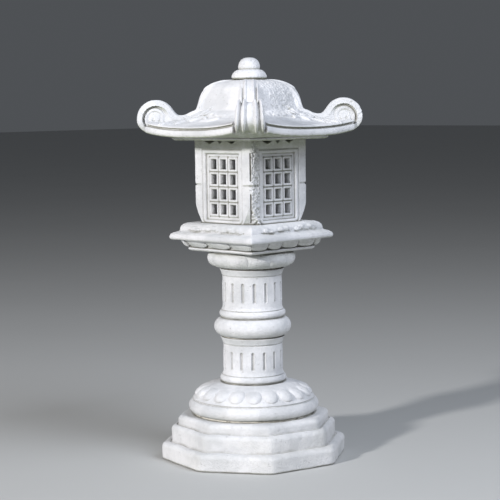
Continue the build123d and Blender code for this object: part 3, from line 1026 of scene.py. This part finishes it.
def sprig(along, up):
    """A low relief of a twig with leaves and small flowers."""
    shape = np.zeros(along.shape)
    for points in ([(-42, 57), (-12, 54), (20, 53), (52, 50), (82, 45)],
                   [(58, 55), (50, 62), (40, 70), (33, 79)], [(-30, 48), (-8, 43), (22, 43)]):
        away = nearest_line(along, up, curve_through(points, 6))
        shape = np.maximum(shape, 2.8 * np.clip(1 - away / 2.6, 0, 1) ** 0.6)
    for middle, level, length, turn in LEAVES:
        c, s = math.cos(math.radians(turn)), math.sin(math.radians(turn))
        a = (along - middle) * c + (up - level) * s
        b = -(along - middle) * s + (up - level) * c
        blade = 1 - (a / length) ** 2 - (b / (length * 0.3 * (1.15 - a / length / 2.5))) ** 2
        vein = 0.9 * np.clip(1 - np.abs(b) / 1.1, 0, 1)
        shape = np.maximum(shape, (4.2 - vein) * np.sqrt(np.clip(blade, 0, 1)))
    for middle, level in FLOWERS:
        away = np.hypot(along - middle, (up - level) * 1.2)
        petals = 6.2 + 1.8 * np.cos(5 * np.arctan2(up - level, along - middle))
        flower = np.sqrt(np.clip(1 - (away / petals) ** 2, 0, 1)) * 3.4
        shape = np.maximum(shape, flower - 2.4 * bell(away, 0, 2.0))
    return shape


def roof():
    low, high = span("roof")
    base, top = low[2], high[2]
    body_points, body_faces = roof_body(base, top)
    solids = [(body_points, fan_to_triangles(body_faces))]
    for degrees in (45, 135, 225, 315):
        solids.append(ridge(base, top, degrees))
        solids.append(scroll(base, degrees))
    piece = melted("roof_stone", solids, 1.5, 3)

    def carving(points, normals):
        side, along, out = face_view(points)
        up = points[:, 2] - base
        open_face = smooth_step(0.05, 0.3, normals[:, 2]) * smooth_step(26, 31, up)
        clear = smooth_step(36, 44, np.abs(np.abs(points[:, 0]) - np.abs(points[:, 1])))
        flowers = sprig(np.where(side % 2 == 1, along, -along), up)
        pecks = np.clip(value_noise(points, 4.6, 91), -0.8, 0.3) * 2.2
        pecks *= smooth_step(44, 60, up) * clear * np.where(side % 2 == 1, 1.0, 0.2)
        return 1.5 * flowers * open_face * clear + pecks

    push(piece, carving)
    push(piece, worn(95, 0.6, 0.22))
    return piece


# ---------------------------------------------------------------- everything in its place
# each finish: stipple, dirt with painted shade, cream stain, painted shade on undersides, and for two
# of them the height of the band of growth and painted shade
white = cast_stone("cast_stone_white", 0.5, 0.40, 0.05, 0.95)
column_white = cast_stone("cast_stone_column", 0.6, 0.40, 0.10, 0.35)
carved_white = cast_stone("cast_stone_carved", 0.7, 0.48, 0.05, 0.42)
# the light box and the capital get the band of growth and painted shade under the eave and the platform
box_white = cast_stone("cast_stone_box", 0.7, 0.85, 0.04, 0.8, height("light_box")[1])
capital_white = cast_stone("cast_stone_capital", 0.8, 0.45, 0.10, 0.45, height("capital")[1] + 14)
mortar = mortar_mix()
steel = galvanised_steel()

place(plinth(), "stand", "cast_stone", column_white, "plinth")
place(foot(), "stand", "cast_stone", column_white, "foot")
for seed, node in enumerate(("plinth_mortar", "lower_drum_mortar", "ring_mortar",
                             "upper_drum_mortar", "capital_mortar")):
    sunk = 0 if node == "plinth_mortar" else 3
    place(mortar_bed(node, 81 + seed, sunk), "stand", "mortar", mortar, node)
place(drum("lower_drum", 241, 289, -45.5, 33), "stand", "cast_stone", column_white, "lower_drum")
place(ring(), "stand", "cast_stone", column_white, "ring")
place(drum("upper_drum", 421, 474, -41, 35), "stand", "cast_stone", column_white, "upper_drum")
place(capital(), "stand", "cast_stone", capital_white, "capital")
place(thin_slab("abacus", 43), "stand", "cast_stone", carved_white, "abacus")
place(platform(), "stand", "cast_stone", carved_white, "platform")
place(light_box(), "light_box", "cast_stone", box_white, "light_box")
for k, node in enumerate(LATTICES):
    place(lattice(node, SIDE_TURNS[k], 3 + k), "light_box", "cast_stone", box_white, node)
boss_half = half_width("eave_slab") - 89
boss_low = height("eave_slab")[0]
place(thin_slab("eave_slab", 45, ((3, boss_low), (boss_half, boss_low),
                                  (boss_half, boss_low + 12))),
      "roof", "cast_stone", white, "eave_slab")
place(roof(), "roof", "cast_stone", white, "roof")
place(finial(), "finial", "cast_stone", white, "finial")

for node in ("dowels", "box_pins", "finial_pin"):
    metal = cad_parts[node]
    metal.data.materials.clear()
    metal.data.materials.append(steel)


# ---------------------------------------------------------------- floor, light, camera
FLOOR_REACH = 40000


def floor():
    points = [(x * FLOOR_REACH, y * FLOOR_REACH, 0) for x, y in ((-1, -1), (1, -1), (1, 1), (-1, 1))]
    made = make_object("floor", points, [[[0, 1, 2, 3]]])
    p = Paint("floor_paint")
    p.give(p.surface.inputs["Base Color"],
           p.tint(p.noise(900, 3), (0.57, 0.57, 0.56), (0.60, 0.60, 0.59)))
    p.surface.inputs["Roughness"].default_value = 0.9
    made.data.materials.append(p.material)


def softbox(name, at, aim, size, power, colour):
    light = bpy.data.lights.new(name, "AREA")
    light.shape = "RECTANGLE"
    light.size, light.size_y = size
    light.energy = power
    light.color = colour
    made = bpy.data.objects.new(name, light)
    made.location = at
    made.rotation_euler = look(at, aim)
    bpy.context.scene.collection.objects.link(made)


def look(at, aim):
    """The rotation that points an object's -Z from one point at another."""
    dx, dy, dz = (b - a for a, b in zip(at, aim))
    flat = math.hypot(dx, dy)
    return (math.pi / 2 + math.atan2(dz, flat), 0, math.atan2(dy, dx) - math.pi / 2)


LIGHT_AIM = (0, 0, 0.6)
VIEW_TURN, VIEW_AWAY, VIEW_HEIGHT = 45, 4.17, 0.957
VIEW_AIM = 0.5566
VIEW_LENS = 112.3
VIEW_LEAN, VIEW_SHIFT = -0.8, -0.0032


def camera():
    turn = math.radians(VIEW_TURN)
    at = (VIEW_AWAY * math.sin(turn), -VIEW_AWAY * math.cos(turn), VIEW_HEIGHT)
    data = bpy.data.cameras.new("view")
    data.lens = VIEW_LENS
    data.sensor_width = 36
    made = bpy.data.objects.new("view", data)
    made.location = at
    lean = Matrix.Rotation(math.radians(VIEW_LEAN), 4, "Z")
    made.rotation_euler = (Euler(look(at, (0, 0, VIEW_AIM))).to_matrix().to_4x4() @ lean).to_euler()
    data.shift_x = VIEW_SHIFT
    bpy.context.scene.collection.objects.link(made)
    bpy.context.scene.camera = made


floor()
softbox("key", (0.35, -7.5, 3.1), LIGHT_AIM, (0.55, 0.55), 548, (1.0, 0.99, 0.985))
softbox("fill", (3.1, 0.1, 3.45), LIGHT_AIM, (2.4, 2.4), 130, (0.84, 0.90, 1.0))
world = bpy.data.worlds.new("sky")
world.use_nodes = True
sky = world.node_tree.nodes["Background"].inputs
sky["Color"].default_value = (0.86, 0.92, 1.0, 1)
sky["Strength"].default_value = 0.09
bpy.context.scene.world = world
bpy.context.scene.view_settings.view_transform = "Standard"
camera()
